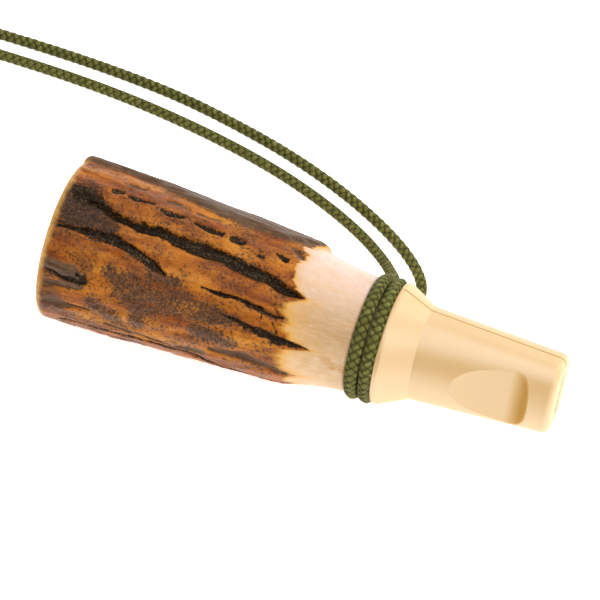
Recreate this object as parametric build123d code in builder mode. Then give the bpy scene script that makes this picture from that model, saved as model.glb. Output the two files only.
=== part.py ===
# Antler bird call with a two-part moulded mouthpiece, a beating reed inside and a neck cord
# Millimetres. +X runs from the bell to the mouth end, +Z is up, and the call lies along the floor.
# The origin is the centre of the bell's mouth, on the bore's axis.
import math
import os

from build123d import *

# Antler barrel
bark_length = 46.0
neck_length = 11.4
bell_half_width = 14.9
bell_rise = 1.6
waist_share = 0.5
waist_half_width = 14.0
waist_rise = 0.9
bark_end_radius = 12.65
neck_mid_radius = 11.35
neck_end_radius = 10.65
bore_radius = 8.0
socket_radius = 8.25
bell_rim_round = 1.4
neck_rim_round = 0.5
gutter_radius = 2.4
ridge_radius = 5.0

# Mouthpiece
roll_angle = 60.0
spigot_length = 15.0
spigot_clearance = 0.05
shoulder_clearance = 0.05
land_radius = 9.3
collar_radius = 11.25
collar_length = 6.2
collar_rim = 0.9
collar_round = 0.35
beak_length = 25.6
throat_half_width = 8.8
throat_half_depth = 7.6
mouth_half_width = 7.2
mouth_half_depth = 5.5
round_fullness = 0.5523
throat_fullness = 0.58
mouth_fullness = 0.74
mouth_round = 1.4
seam_groove_width = 0.3
seam_groove_depth = 0.2
chamber_radius = 5.6
airway_width = 9.6
airway_height = 2.6
thumb_start = 7.2
thumb_length = 11.0
thumb_depth = 1.2
thumb_end_radius = 3.6
thumb_tilt = 5.0
peg_radius = 0.7
peg_height = 1.5
peg_clearance = 0.08
peg_inset = 4.5

# Reed set
reed_width = 7.0
reed_thickness = 0.3
reed_length = 20.2
reed_tip_round = 2.0
reed_clearance = 0.02
plug_length = 8.0
plug_flange = 1.2
plug_flange_radius = 7.2
plug_end_gap = 1.2
plug_clearance = 0.03
board_length = 16.0
board_gap = 0.4
facing_angle = 2.0
trough_width = 3.4
trough_tip_depth = 0.6
exhaust_radius = 1.9
exhaust_drop = 2.6
wedge_height = 2.4
wedge_length = 4.6
wedge_taper = 0.3
wedge_gap = 0.2
wedge_seat_gap = 0.05
slot_end_gap = 0.4

# Spigot seals
ring_wire = 1.0
ring_fit = 0.02
ring_side_gap = 0.1
ring_neck_inset = 4.0
ring_end_inset = 4.5

# Neck cord
cord_diameter = 2.1
cord_gap = 0.48
cord_seat_gap = 0.1
groove_side_gap = 0.12
wrap_start_angle = 35.0
wrap_cross_from = 270.0
wrap_cross_to = 395.0
wrap_end_angle = 630.0
coil_turns = 3
coil_mid_diameters = 11.0
coil_out_turns = 2.5
coil_center_x = -52.0
tie_angle = 315.0
tie_thickness = 0.4
tie_width = 4.0
tie_gap = 0.15
knot_length = 9.0
knot_radius = 3.0
knot_end_radius = 2.4
knot_tail = 6.0
knot_end_x = -78.0
knot_y = 44.5

# Stations along the call
cord_radius = cord_diameter / 2
cord_pitch = cord_diameter + cord_gap
neck_end = bark_length + neck_length
groove_start = neck_end + shoulder_clearance
groove_width = cord_pitch + cord_diameter + 2 * groove_side_gap
collar_start = groove_start + groove_width
throat = collar_start + collar_length
mouth_end = throat + beak_length
spigot_start = neck_end - spigot_length
ring_stations = (spigot_start + ring_end_inset, neck_end - ring_neck_inset)
socket_start = spigot_start - plug_flange - plug_end_gap
plug_end = spigot_start + plug_length
board_end = plug_end + board_length
chamber_end = board_end + board_gap
reed_start = plug_end - wedge_length
floor_z = -bark_end_radius
cord_floor = floor_z + cord_radius

# Directions of the mouthpiece: across the seam plane, and out of its front face
roll = math.radians(roll_angle)
across = Vector(0, math.cos(roll), math.sin(roll))
outward = Vector(0, -math.sin(roll), math.cos(roll))
call_axis = Axis((0, 0, 0), (1, 0, 0))
seam = Plane(origin=(0, 0, 0), x_dir=(1, 0, 0), z_dir=outward)
profile = Plane(origin=(0, 0, 0), x_dir=(1, 0, 0), z_dir=-across)


def across_plane(x):
    return Plane(origin=(x, 0, 0), x_dir=across, z_dir=(1, 0, 0))


def oval(plane, half_width, above, below, fullness, rise=0):
    """A closed section of four curves, wider at the height of its rise."""
    with BuildSketch(plane) as section:
        with BuildLine():
            for height, side in ((above, 1), (below, -1)):
                reach = side * height - rise
                for turn in (1, -1):
                    Bezier(
                        (turn * half_width, rise),
                        (turn * half_width, rise + fullness * reach),
                        (turn * fullness * half_width, rise + reach),
                        (0, rise + reach),
                    )
        make_face()
    return section.sketch


def upright_plane(x):
    return Plane(origin=(x, 0, 0), x_dir=(0, 1, 0), z_dir=(1, 0, 0))


def barrel_section(x, half_width, rise):
    """Bark that lies flat along the floor, so its crown rises towards the bell."""
    return oval(upright_plane(x), half_width, half_width + rise, bark_end_radius, round_fullness, rise)


def neck_section(x, radius):
    return oval(upright_plane(x), radius, radius, radius, round_fullness)


def along_bark(x, at_bell, at_waist, at_end):
    """The smooth run of a size through its values at the bell, the waist and the end of the bark."""
    share = min(max(x / bark_length, 0), 1)
    bell_part = at_bell * (1 - share) * (waist_share - share) / waist_share
    waist_part = at_waist * share * (1 - share) / (waist_share * (1 - waist_share))
    end_part = at_end * share * (share - waist_share) / (1 - waist_share)
    return bell_part + waist_part + end_part


def bark_point(x, angle, lift):
    """A point over the bark, turned from the top towards the front."""
    turn = math.radians(angle)
    radius = along_bark(x, bell_half_width, waist_half_width, bark_end_radius) + lift
    rise = along_bark(x, bell_rise, waist_rise, 0)
    return Vector(x, -radius * math.sin(turn), rise + radius * math.cos(turn))


# Gutters of the bark: start and end along the barrel, their angles from the top, and the depth
gutters = (
    (-4.0, 44.5, 1, 16, 1.1),
    (-3.0, 22.5, 25, 37, 0.8),
    (24.5, 43.0, 36, 37, 0.7),
    (18.0, 48.0, 50, 58, 0.8),
    (29.0, 47.5, 86, 93, 0.7),
    (-3.0, 20.0, 76, 82, 0.7),
    (3.0, 42.0, -11, -24, 0.6),
    (-3.0, 44.0, -38, -42, 0.6),
    (-4.0, 26.0, -88, -95, 0.9),
    (20.0, 47.0, -112, -118, 0.8),
    (-3.0, 40.0, -140, -146, 0.8),
    (-4.0, 38.0, 118, 126, 0.7),
)

# Raised ridges of the bark, in the same way, with their height
ridges = ((0.6, 47.0, -60, -58, 1.0),)


def bark_spindle(start, end, radius):
    """Half the outline of a long spindle between two points, and the line that it turns about."""
    middle = (start + end) / 2
    half = (end - start).length / 2
    lengthwise = Plane(origin=middle, x_dir=end - start, z_dir=(end - start).cross(middle))
    with BuildSketch(lengthwise) as outline:
        with BuildLine():
            ThreePointArc((-half, 0), (0, radius), (half, 0))
            Line((half, 0), (-half, 0))
        make_face()
    return outline.sketch, Axis(middle, end - start)


# Antler barrel: natural bark, a turned bare neck, a straight bore and the spigot's socket
with BuildPart() as barrel:
    loft(
        sections=[
            barrel_section(0, bell_half_width, bell_rise),
            barrel_section(waist_share * bark_length, waist_half_width, waist_rise),
            barrel_section(bark_length, bark_end_radius, 0),
        ]
    )
    loft(
        sections=[
            neck_section(bark_length, bark_end_radius),
            neck_section(bark_length + neck_length / 2, neck_mid_radius),
            neck_section(neck_end, neck_end_radius),
        ]
    )
    bell_rim = barrel.faces().sort_by(Axis.X)[0].outer_wire().edges()
    fillet(bell_rim, bell_rim_round)
    neck_rim = barrel.faces().sort_by(Axis.X)[-1].outer_wire().edges()
    fillet(neck_rim, neck_rim_round)
    for start_x, end_x, start_angle, end_angle, height in ridges:
        start = bark_point(start_x, start_angle, height - ridge_radius)
        end = bark_point(end_x, end_angle, height - ridge_radius)
        outline, turning_line = bark_spindle(start, end, ridge_radius)
        revolve(outline, axis=turning_line)
    for start_x, end_x, start_angle, end_angle, depth in gutters:
        start = bark_point(start_x, start_angle, gutter_radius - depth)
        end = bark_point(end_x, end_angle, gutter_radius - depth)
        outline, turning_line = bark_spindle(start, end, gutter_radius)
        revolve(outline, axis=turning_line, mode=Mode.SUBTRACT)
    with BuildSketch(Plane.YZ):
        Circle(bore_radius)
    extrude(amount=neck_end, mode=Mode.SUBTRACT)
    with BuildSketch(Plane.YZ.offset(socket_start)):
        Circle(socket_radius)
    extrude(amount=neck_end - socket_start, mode=Mode.SUBTRACT)
barrel.part.label = "antler_barrel"


def mouthpiece_blank():
    """The whole moulding before it is parted: spigot, cord land, collar and beak, with its airway."""
    with BuildPart() as blank:
        with BuildSketch(profile):
            with Locations((spigot_start, 0)):
                Rectangle(
                    groove_start - spigot_start,
                    socket_radius - spigot_clearance,
                    align=(Align.MIN, Align.MIN),
                )
            with Locations((groove_start, 0)):
                Rectangle(groove_width + collar_rim, land_radius, align=(Align.MIN, Align.MIN))
            for station in ring_stations:
                with Locations((station, socket_radius - ring_fit - ring_wire - ring_fit)):
                    Rectangle(
                        ring_wire + 2 * ring_side_gap,
                        socket_radius,
                        align=(Align.CENTER, Align.MIN),
                        mode=Mode.SUBTRACT,
                    )
        revolve(axis=call_axis)
        rim_section = beak_section(collar_start + collar_rim, collar_radius, collar_radius, round_fullness)
        throat_section = beak_section(throat, throat_half_width, throat_half_depth, throat_fullness)
        mouth_section = beak_section(mouth_end, mouth_half_width, mouth_half_depth, mouth_fullness)
        extrude(rim_section, amount=-collar_rim)
        loft(sections=[rim_section, throat_section])
        loft(sections=[throat_section, mouth_section])
        fillet(blank.faces().sort_by(Axis.X)[-1].outer_wire().edges(), mouth_round)
        groove_wall = blank.faces().filter_by_position(Axis.X, collar_start - 0.01, collar_start + 0.01)
        fillet(groove_wall.sort_by(SortBy.AREA)[-1].outer_wire().edges(), collar_round)
        with BuildSketch(across_plane(spigot_start)):
            Circle(chamber_radius)
        extrude(amount=chamber_end - spigot_start, mode=Mode.SUBTRACT)
        with BuildSketch(across_plane(chamber_end)):
            RectangleRounded(airway_width, airway_height, airway_height / 3)
        extrude(amount=mouth_end - chamber_end, mode=Mode.SUBTRACT)
        for turn in (thumb_tilt, thumb_tilt + 180):
            extrude(thumb_recess(turn), amount=throat_half_width, both=True, mode=Mode.SUBTRACT)
        with BuildSketch(seam):
            add(plan_outline(seam_groove_depth, -seam_groove_depth))
            add(plan_outline(0, seam_groove_depth), mode=Mode.SUBTRACT)
        extrude(amount=seam_groove_width / 2, both=True, mode=Mode.SUBTRACT)
    return blank.part


def plan_outline(early, inset):
    """The moulding's outline in the parting plane, drawn in by the inset."""
    corners = (
        (collar_start + collar_round + early, collar_radius - inset),
        (collar_start + collar_rim, collar_radius - inset),
        (throat, throat_half_width - inset),
        (mouth_end - inset, mouth_half_width - inset),
    )
    with BuildSketch() as outline:
        with BuildLine():
            Polyline(*corners, *[(x, -y) for x, y in reversed(corners)], close=True)
        make_face()
        fillet(outline.vertices().sort_by(Axis.X)[-2:], mouth_round - inset)
    return outline.sketch


def beak_section(x, half_width, half_depth, fullness):
    return oval(across_plane(x), half_width, half_depth, half_depth, fullness)


def beak_depth(x):
    share = (x - throat) / beak_length
    return throat_half_depth + (mouth_half_depth - throat_half_depth) * share


def beak_width(x):
    share = (x - throat) / beak_length
    return throat_half_width + (mouth_half_width - throat_half_width) * share


def thumb_recess(turn):
    """A scoop in the crowned face: a floor that levels out, then a round wall towards the mouth."""
    start = throat + thumb_start
    deep = start + thumb_length
    middle = (start + deep) / 2
    above = throat_half_depth + thumb_end_radius
    with BuildSketch(profile.rotated((turn, 0, 0))) as recess:
        with BuildLine():
            floor = ThreePointArc(
                (start, beak_depth(start)),
                (middle, beak_depth(middle) - 0.75 * thumb_depth),
                (deep, beak_depth(deep) - thumb_depth),
            )
            wall = JernArc(floor @ 1, floor % 1, thumb_end_radius, 80)
            Polyline(wall @ 1, ((wall @ 1).X, above), (start, above), floor @ 0)
        make_face()
    return recess.sketch


peg_stations = (throat + peg_inset, mouth_end - peg_inset)
peg_spots = [
    (x, side * (airway_width / 2 + beak_width(x)) / 2) for x in peg_stations for side in (1, -1)
]


# Mouthpiece half towards the front, with the sockets for the locating pegs
with BuildPart() as front_shell:
    add(mouthpiece_blank())
    split(bisect_by=seam, keep=Keep.TOP)
    with BuildSketch(seam):
        with Locations(*peg_spots):
            Circle(peg_radius + peg_clearance)
    extrude(amount=peg_height + peg_clearance, mode=Mode.SUBTRACT)
front_shell.part.label = "mouthpiece_front_shell"

# Mouthpiece half towards the back, with the pegs
with BuildPart() as back_shell:
    add(mouthpiece_blank())
    split(bisect_by=seam, keep=Keep.BOTTOM)
    with BuildSketch(seam):
        with Locations(*peg_spots):
            Circle(peg_radius)
    extrude(amount=peg_height)
back_shell.part.label = "mouthpiece_back_shell"

# Seals that hold the spigot in the antler
with BuildPart() as spigot_rings:
    for station in ring_stations:
        with BuildSketch(profile):
            with Locations((station, socket_radius - ring_fit - ring_wire / 2)):
                Circle(ring_wire / 2)
        revolve(axis=call_axis)
spigot_rings.part.label = "spigot_rings"

# Tone board: a plug in the spigot with a half-round board, its facing and its trough
board_radius = chamber_radius - plug_clearance
wedge_base = reed_clearance + reed_thickness + wedge_gap
slot_width = reed_width + 2 * wedge_gap
slot_top = wedge_base + wedge_height + wedge_seat_gap
tip_drop = board_length * math.tan(math.radians(facing_angle))
with BuildPart() as tone_board:
    with BuildSketch(across_plane(spigot_start - plug_flange)):
        Circle(plug_flange_radius)
    extrude(amount=plug_flange)
    with BuildSketch(across_plane(spigot_start)):
        Circle(board_radius)
    extrude(amount=board_end - spigot_start)
    with BuildSketch(profile):
        with BuildLine():
            Polyline(
                (plug_end, board_radius),
                (plug_end, 0),
                (board_end, -tip_drop),
                (board_end, board_radius),
                close=True,
            )
        make_face()
    extrude(amount=board_radius, both=True, mode=Mode.SUBTRACT)
    with BuildSketch(across_plane(plug_end)):
        Rectangle(slot_width, slot_top, align=(Align.CENTER, Align.MIN))
    extrude(amount=-(wedge_length + slot_end_gap), mode=Mode.SUBTRACT)
    with BuildSketch(profile):
        with BuildLine():
            Polyline(
                (plug_end, 0),
                (plug_end, -exhaust_drop - exhaust_radius),
                (board_end - trough_width, -trough_tip_depth),
                (board_end - trough_width, 0),
                close=True,
            )
        make_face()
    extrude(amount=trough_width / 2, both=True, mode=Mode.SUBTRACT)
    with BuildSketch(across_plane(spigot_start - plug_flange)):
        with Locations((0, -exhaust_drop)):
            Circle(exhaust_radius)
    extrude(amount=plug_flange + plug_length, mode=Mode.SUBTRACT)
tone_board.part.label = "tone_board"

# Reed: a flat springy strip with a rounded tip
with BuildPart() as reed:
    with BuildSketch(seam.offset(reed_clearance)) as strip:
        with Locations((reed_start, 0)):
            Rectangle(reed_length, reed_width, align=(Align.MIN, Align.CENTER))
        fillet(strip.vertices().sort_by(Axis.X)[-2:], reed_tip_round)
    extrude(amount=reed_thickness)
reed.part.label = "reed"

# Cork wedge that clamps the heel of the reed in the plug
with BuildPart() as reed_wedge:
    with BuildSketch(profile):
        with BuildLine():
            Polyline(
                (reed_start, wedge_base),
                (plug_end, wedge_base),
                (plug_end, wedge_base + wedge_height - wedge_taper),
                (reed_start, wedge_base + wedge_height),
                close=True,
            )
        make_face()
    extrude(amount=reed_width / 2, both=True)
reed_wedge.part.label = "reed_wedge"


def biarc(start, start_way, end, end_way):
    """Two tangent arcs between two points with given directions."""
    chord = end - start
    along = chord.dot(start_way + end_way)
    spread = 2 * (1 - start_way.dot(end_way))
    if spread < 1e-9:
        reach = chord.dot(chord) / (2 * along)
    else:
        reach = (math.sqrt(along**2 + spread * chord.dot(chord)) - along) / spread
    near = start + start_way * reach
    far = end - end_way * reach
    joint = (near + far) / 2
    TangentArc(start, joint, tangent=start_way)
    TangentArc(joint, end, tangent=far - near)


def winding(point, spots):
    """One unbroken line through a winding's points, with a straight end as long as the cord is thick."""
    step = 1e-4
    places = [point(spot) for spot in spots]
    ways = [(point(spot + step) - point(spot - step)).normalized() for spot in spots]
    Line(places[0] - ways[0] * cord_diameter, places[0])
    for index in range(len(spots) - 1):
        biarc(places[index], ways[index], places[index + 1], ways[index + 1])
    Line(places[-1], places[-1] + ways[-1] * cord_diameter)


def least_gap(wire, label):
    """Prints the least clear gap between turns that pass each other."""
    count = 900
    spacing = wire.length / count
    skip = int(2.5 * cord_diameter / spacing)
    points = [tuple(wire.position_at(index / count)) for index in range(count + 1)]
    gap = min(
        math.dist(points[first], points[second])
        for first in range(count + 1)
        for second in range(first + skip, count + 1)
    )
    print(label, "length", round(wire.length, 1), "least gap", round(gap - cord_diameter, 3))


def smooth(share):
    share = min(max(share, 0), 1)
    return (1 - math.cos(math.pi * share)) / 2


# Cord round the groove: two turns side by side that cross over behind
wrap_radius = land_radius + cord_seat_gap + cord_radius
wrap_first = groove_start + groove_side_gap + cord_radius
wrap_second = wrap_first + cord_pitch


def wrap_point(angle):
    turn = math.radians(angle)
    crossed = smooth((angle - wrap_cross_from) / (wrap_cross_to - wrap_cross_from))
    x = wrap_first + cord_pitch * crossed
    return Vector(x, wrap_radius * math.cos(turn), wrap_radius * math.sin(turn))


wrap_middle = (wrap_cross_from + wrap_cross_to) / 2
wrap_angles = (
    wrap_start_angle,
    (wrap_start_angle * 2 + wrap_cross_from) / 3,
    (wrap_start_angle + wrap_cross_from * 2) / 3,
    wrap_cross_from,
    wrap_middle,
    wrap_cross_to,
    (wrap_cross_to * 2 + wrap_end_angle) / 3,
    (wrap_cross_to + wrap_end_angle * 2) / 3,
    wrap_end_angle,
)
with BuildPart() as wrap:
    with BuildLine() as wrap_line:
        winding(wrap_point, wrap_angles)
    with BuildSketch(Plane(origin=wrap_line.wire() @ 0, z_dir=wrap_line.wire() % 0)):
        Circle(cord_radius)
    sweep()
wrap.part.label = "lanyard_wrap"
least_gap(wrap_line.wire(), "lanyard_wrap")


def strand(points, label):
    """A free stretch of cord: straight runs with tangent arcs as large as the runs allow."""
    corners = [Vector(*point) for point in points]
    runs = [after - before for before, after in zip(corners, corners[1:])]
    radii = [
        0.45 * min(first.length, second.length)
        / math.tan(math.radians(first.get_angle(second)) / 2)
        for first, second in zip(runs, runs[1:])
    ]
    with BuildPart() as tube:
        with BuildLine() as line:
            FilletPolyline(*corners, radius=radii)
        with BuildSketch(Plane(origin=corners[0], z_dir=runs[0])):
            Circle(cord_radius)
        sweep()
    tube.part.label = label
    length = line.wire().length
    ideal = math.pi * cord_radius**2 * length
    print(label, "length", round(length, 1), "volume share", round(tube.part.volume / ideal, 4))
    print("  radii", [round(radius, 1) for radius in radii])
    return tube.part


# Put-away length: a flat coil of two layers that spirals in and out again
coil_mid_radius = coil_mid_diameters * cord_diameter / 2
coil_outer = coil_mid_radius + coil_turns * cord_pitch / 2
coil_floor = floor_z + tie_thickness + tie_gap + cord_radius
coil_center_y = 42.0 - coil_outer
climb_turns = 0.5
coil_total = coil_turns + climb_turns + coil_out_turns


def coil_point(turn):
    angle = 2 * math.pi * (turn + 0.25)
    climbed = smooth((turn - coil_turns) / climb_turns)
    turning = coil_turns + climb_turns / 2
    radius = coil_outer - cord_pitch * (turning - abs(turn - turning))
    return Vector(
        coil_center_x + radius * math.cos(angle),
        coil_center_y + radius * math.sin(angle),
        coil_floor + cord_pitch * climbed,
    )


coil_spots = [index / 4 for index in range(int(coil_total * 4) + 1)]
with BuildPart() as coil:
    with BuildLine() as coil_line:
        winding(coil_point, coil_spots)
    with BuildSketch(Plane(origin=coil_line.wire() @ 0, z_dir=coil_line.wire() % 0)):
        Circle(cord_radius)
    sweep()
coil.part.label = "lanyard_coil"
least_gap(coil_line.wire(), "lanyard_coil")

# Free stretches of the cord, from the wrap to the coil and to the knot
knot_z = floor_z + knot_radius
strand_apart = cord_radius + cord_gap / 4
front_route = (
    tuple(wrap_line.wire() @ 0),
    (58.9, 12.9, -0.6),
    (57.0, 17.2, -5.8),
    (53.5, 22.3, -9.9),
    (47.3, 27.3, cord_floor),
    (38.2, 31.6, cord_floor),
    (26.6, 35.6, cord_floor),
    (12.4, 38.8, cord_floor),
    (-3.5, 41.1, cord_floor),
    (-19.0, 42.1, cord_floor),
    (-34.5, 42.3, cord_floor),
    tuple(coil_line.wire() @ 0),
)
back_route = (
    tuple(wrap_line.wire() @ 1),
    (61.2, 6.4, -10.8),
    (61.7, 11.3, -11.4),
    (62.6, 16.0, cord_floor),
    (62.0, 20.4, cord_floor),
    (59.2, 24.0, cord_floor),
    (54.6, 27.7, cord_floor),
    (48.4, 31.4, cord_floor),
    (40.0, 35.4, cord_floor),
    (29.2, 39.3, cord_floor),
    (18.0, 42.2, cord_floor),
    (5.6, 44.7, cord_floor),
    (-7.6, 46.0, cord_floor),
    (-20.6, 46.6, cord_floor),
    (-34.0, 46.7, cord_floor),
    (-46.0, 46.9, cord_floor),
    (-57.0, 46.8, cord_floor),
    (-67.5, 46.3, -10.9),
    (knot_end_x, knot_y + strand_apart, knot_z),
)
tail_route = (
    tuple(coil_line.wire() @ 1),
    (-61.0, 42.1, -8.6),
    (-69.0, 42.9, -9.2),
    (knot_end_x, knot_y - strand_apart, knot_z),
)
front_strand = strand(front_route, "lanyard_front_strand")
back_strand = strand(back_route, "lanyard_back_strand")
tail_strand = strand(tail_route, "lanyard_tail_strand")

# Knot that joins the cord's two ends, with its short tails
knot_start = Vector(knot_end_x, knot_y, knot_z)
knot_way = Vector(-1, 0, 0)
with BuildPart() as knot:
    with BuildSketch(Plane(origin=knot_start, x_dir=knot_way, z_dir=(0, 0, 1))):
        with BuildLine():
            crown = ThreePointArc(
                (0, knot_end_radius), (knot_length / 2, knot_radius), (knot_length, knot_end_radius)
            )
            Polyline(crown @ 1, (knot_length, 0), (0, 0), crown @ 0)
        make_face()
    revolve(axis=Axis(knot_start, knot_way))
    with BuildSketch(Plane(origin=knot_start + knot_way * knot_length, x_dir=(0, 1, 0), z_dir=knot_way)):
        with Locations((strand_apart, 0), (-strand_apart, 0)):
            Circle(cord_radius)
    extrude(amount=knot_tail)
knot.part.label = "lanyard_knot"

# Tie round the coil's turns
tie_turn = (tie_angle / 360 - 0.25) % 1
tie_radii = [
    (coil_point(turn) - Vector(coil_center_x, coil_center_y, coil_point(turn).Z)).length
    for turn in [tie_turn + index for index in range(int(coil_total) + 1)]
    if turn <= coil_total
]
bow = min(tie_radii) - math.sqrt(min(tie_radii) ** 2 - (tie_width / 2) ** 2)
tie_near = min(tie_radii) - cord_radius - bow - tie_gap * 2
tie_far = max(tie_radii) + cord_radius + tie_gap * 2
tie_way = Vector(math.cos(math.radians(tie_angle)), math.sin(math.radians(tie_angle)), 0)
tie_low = coil_floor - cord_radius - tie_gap
tie_high = coil_floor + cord_pitch + cord_radius + tie_gap
tie_center = Vector(coil_center_x, coil_center_y, (tie_low + tie_high) / 2)
tie_center = tie_center + tie_way * ((tie_near + tie_far) / 2)
with BuildPart() as tie:
    with BuildSketch(Plane(origin=tie_center, x_dir=tie_way, z_dir=tie_way.cross(Vector(0, 0, 1)))):
        RectangleRounded(
            tie_far - tie_near + 2 * tie_thickness, tie_high - tie_low + 2 * tie_thickness, cord_radius
        )
        RectangleRounded(
            tie_far - tie_near,
            tie_high - tie_low,
            cord_radius - tie_thickness,
            mode=Mode.SUBTRACT,
        )
    extrude(amount=tie_width / 2, both=True)
tie.part.label = "coil_tie"

os.makedirs("parts", exist_ok=True)
pieces = (
    barrel.part,
    front_shell.part,
    back_shell.part,
    spigot_rings.part,
    tone_board.part,
    reed.part,
    reed_wedge.part,
    wrap.part,
    front_strand,
    back_strand,
    tail_strand,
    coil.part,
    knot.part,
    tie.part,
)
for piece in pieces:
    export_step(piece, f"parts/{piece.label}.step")
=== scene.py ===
# Looks, light and camera for the antler bird call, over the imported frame
import math

import bpy
import numpy as np
from mathutils import Matrix, Vector


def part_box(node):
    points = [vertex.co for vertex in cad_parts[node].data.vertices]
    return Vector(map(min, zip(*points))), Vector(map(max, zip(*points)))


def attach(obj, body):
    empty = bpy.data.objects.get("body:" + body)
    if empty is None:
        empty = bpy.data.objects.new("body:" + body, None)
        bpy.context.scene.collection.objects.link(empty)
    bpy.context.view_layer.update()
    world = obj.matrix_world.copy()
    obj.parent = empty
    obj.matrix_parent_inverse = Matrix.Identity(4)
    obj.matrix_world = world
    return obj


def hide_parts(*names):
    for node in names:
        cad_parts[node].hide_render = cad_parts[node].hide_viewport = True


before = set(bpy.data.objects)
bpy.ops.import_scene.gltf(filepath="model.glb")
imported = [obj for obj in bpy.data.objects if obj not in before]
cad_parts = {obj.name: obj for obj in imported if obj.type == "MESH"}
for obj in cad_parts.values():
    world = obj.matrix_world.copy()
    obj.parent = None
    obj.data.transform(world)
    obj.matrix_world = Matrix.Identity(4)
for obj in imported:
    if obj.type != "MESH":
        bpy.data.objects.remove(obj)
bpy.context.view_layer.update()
millimetre = 0.001


# Camera at the photograph's viewing angle
cameraSettings = {
    "elevation": 58.0,
    "azimuth": 19.9,
    "distance": 0.7,
    "metresPerPixel": 0.0001786,
    "imageWidth": 600,
    "anchor": (0.0599, 0.0, 0.0),
    "anchorPixel": (376.6, 338.6),
    "sensorWidth": 36.0,
}


def makeCamera(settings):
    elevation = math.radians(settings["elevation"])
    azimuth = math.radians(settings["azimuth"])
    backward = Vector((
        math.sin(azimuth) * math.cos(elevation),
        -math.cos(azimuth) * math.cos(elevation),
        math.sin(elevation),
    ))
    rightward = Vector((math.cos(azimuth), math.sin(azimuth), 0.0))
    upward = backward.cross(rightward)
    halfImage = settings["imageWidth"] / 2
    offsetX = (settings["anchorPixel"][0] - halfImage) * settings["metresPerPixel"]
    offsetY = (settings["anchorPixel"][1] - halfImage) * settings["metresPerPixel"]
    target = Vector(settings["anchor"]) - rightward * offsetX + upward * offsetY
    data = bpy.data.cameras.new("photoCamera")
    data.sensor_width = settings["sensorWidth"]
    pixels = settings["distance"] / settings["metresPerPixel"]
    data.lens = pixels / settings["imageWidth"] * settings["sensorWidth"]
    data.clip_start = 0.01
    data.clip_end = 10.0
    camera = bpy.data.objects.new("photoCamera", data)
    bpy.context.collection.objects.link(camera)
    rotation = Matrix((rightward, upward, backward)).transposed()
    camera.matrix_world = Matrix.Translation(target + backward * settings["distance"]) @ rotation.to_4x4()
    bpy.context.scene.camera = camera


makeCamera(cameraSettings)
print("stage: camera")


# Small helpers for node trees
class NodeTree:
    def __init__(self, tree):
        self.tree = tree

    def node(self, kind, **settings):
        made = self.tree.nodes.new(kind)
        for key, value in settings.items():
            setattr(made, key, value)
        return made

    def link(self, source, target):
        self.tree.links.new(source, target)

    def math(self, operation, first, second=0.0):
        made = self.node("ShaderNodeMath", operation=operation)
        for value, socket in zip((first, second), made.inputs):
            if isinstance(value, (int, float)):
                socket.default_value = value
            else:
                self.link(value, socket)
        return made.outputs["Value"]

    def plus(self, first, second):
        return self.math("ADD", first, second)

    def times(self, first, second):
        return self.math("MULTIPLY", first, second)


class Shader(NodeTree):
    def __init__(self, name):
        self.material = bpy.data.materials.new(name)
        self.material.use_nodes = True
        super().__init__(self.material.node_tree)
        self.principled = self.tree.nodes["Principled BSDF"]

    def set(self, **values):
        for key, value in values.items():
            self.principled.inputs[key.replace("_", " ")].default_value = value

    def feed(self, socket, value):
        self.link(value, self.principled.inputs[socket])

    def coordinates(self, stretch=(1, 1, 1)):
        place = self.node("ShaderNodeTexCoord")
        mapping = self.node("ShaderNodeMapping")
        mapping.inputs["Scale"].default_value = stretch
        self.link(place.outputs["Object"], mapping.inputs["Vector"])
        return mapping.outputs["Vector"]

    def axes(self, vector):
        made = self.node("ShaderNodeSeparateXYZ")
        self.link(vector, made.inputs["Vector"])
        return made.outputs

    # How far a place lies from the plane through the origin that faces this way, on either side
    def away(self, place, facing):
        made = self.node("ShaderNodeVectorMath", operation="DOT_PRODUCT")
        made.inputs[1].default_value = facing
        self.link(place, made.inputs[0])
        return self.math("ABSOLUTE", made.outputs["Value"])

    def attribute(self, name):
        return self.node("ShaderNodeAttribute", attribute_name=name).outputs["Fac"]

    def noise(self, vector, scale, detail=4.0, roughness=0.55):
        made = self.node("ShaderNodeTexNoise")
        made.inputs["Scale"].default_value = scale
        made.inputs["Detail"].default_value = detail
        made.inputs["Roughness"].default_value = roughness
        self.link(vector, made.inputs["Vector"])
        return made.outputs["Fac"]

    def ramp(self, factor, stops):
        made = self.node("ShaderNodeValToRGB")
        band = made.color_ramp
        while len(band.elements) < len(stops):
            band.elements.new(0.5)
        for element, (place, colour) in zip(band.elements, stops):
            element.position = place
            element.color = (*colour, 1.0)
        self.link(factor, made.inputs["Fac"])
        return made.outputs["Color"]

    def spread(self, factor, low, high, fromLow=0.0, fromHigh=1.0):
        made = self.node("ShaderNodeMapRange", clamp=True)
        limits = {"From Min": fromLow, "From Max": fromHigh, "To Min": low, "To Max": high}
        for key, value in limits.items():
            made.inputs[key].default_value = value
        self.link(factor, made.inputs["Value"])
        return made.outputs["Result"]

    # Sockets 0, 6 and 7 are the factor and the two colours, and 2 is the mixed colour
    def mix(self, factor, first, second, blend="MIX"):
        made = self.node("ShaderNodeMix", data_type="RGBA", blend_type=blend)
        for value, socket in ((factor, made.inputs[0]), (first, made.inputs[6]), (second, made.inputs[7])):
            if isinstance(value, (int, float)):
                socket.default_value = value
            elif isinstance(value, tuple):
                socket.default_value = (*value, 1.0)
            else:
                self.link(value, socket)
        return made.outputs[2]

    def bump(self, height, strength, distance):
        made = self.node("ShaderNodeBump")
        made.inputs["Strength"].default_value = strength
        made.inputs["Distance"].default_value = distance
        self.link(height, made.inputs["Height"])
        self.link(made.outputs["Normal"], self.principled.inputs["Normal"])
        return made


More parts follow.
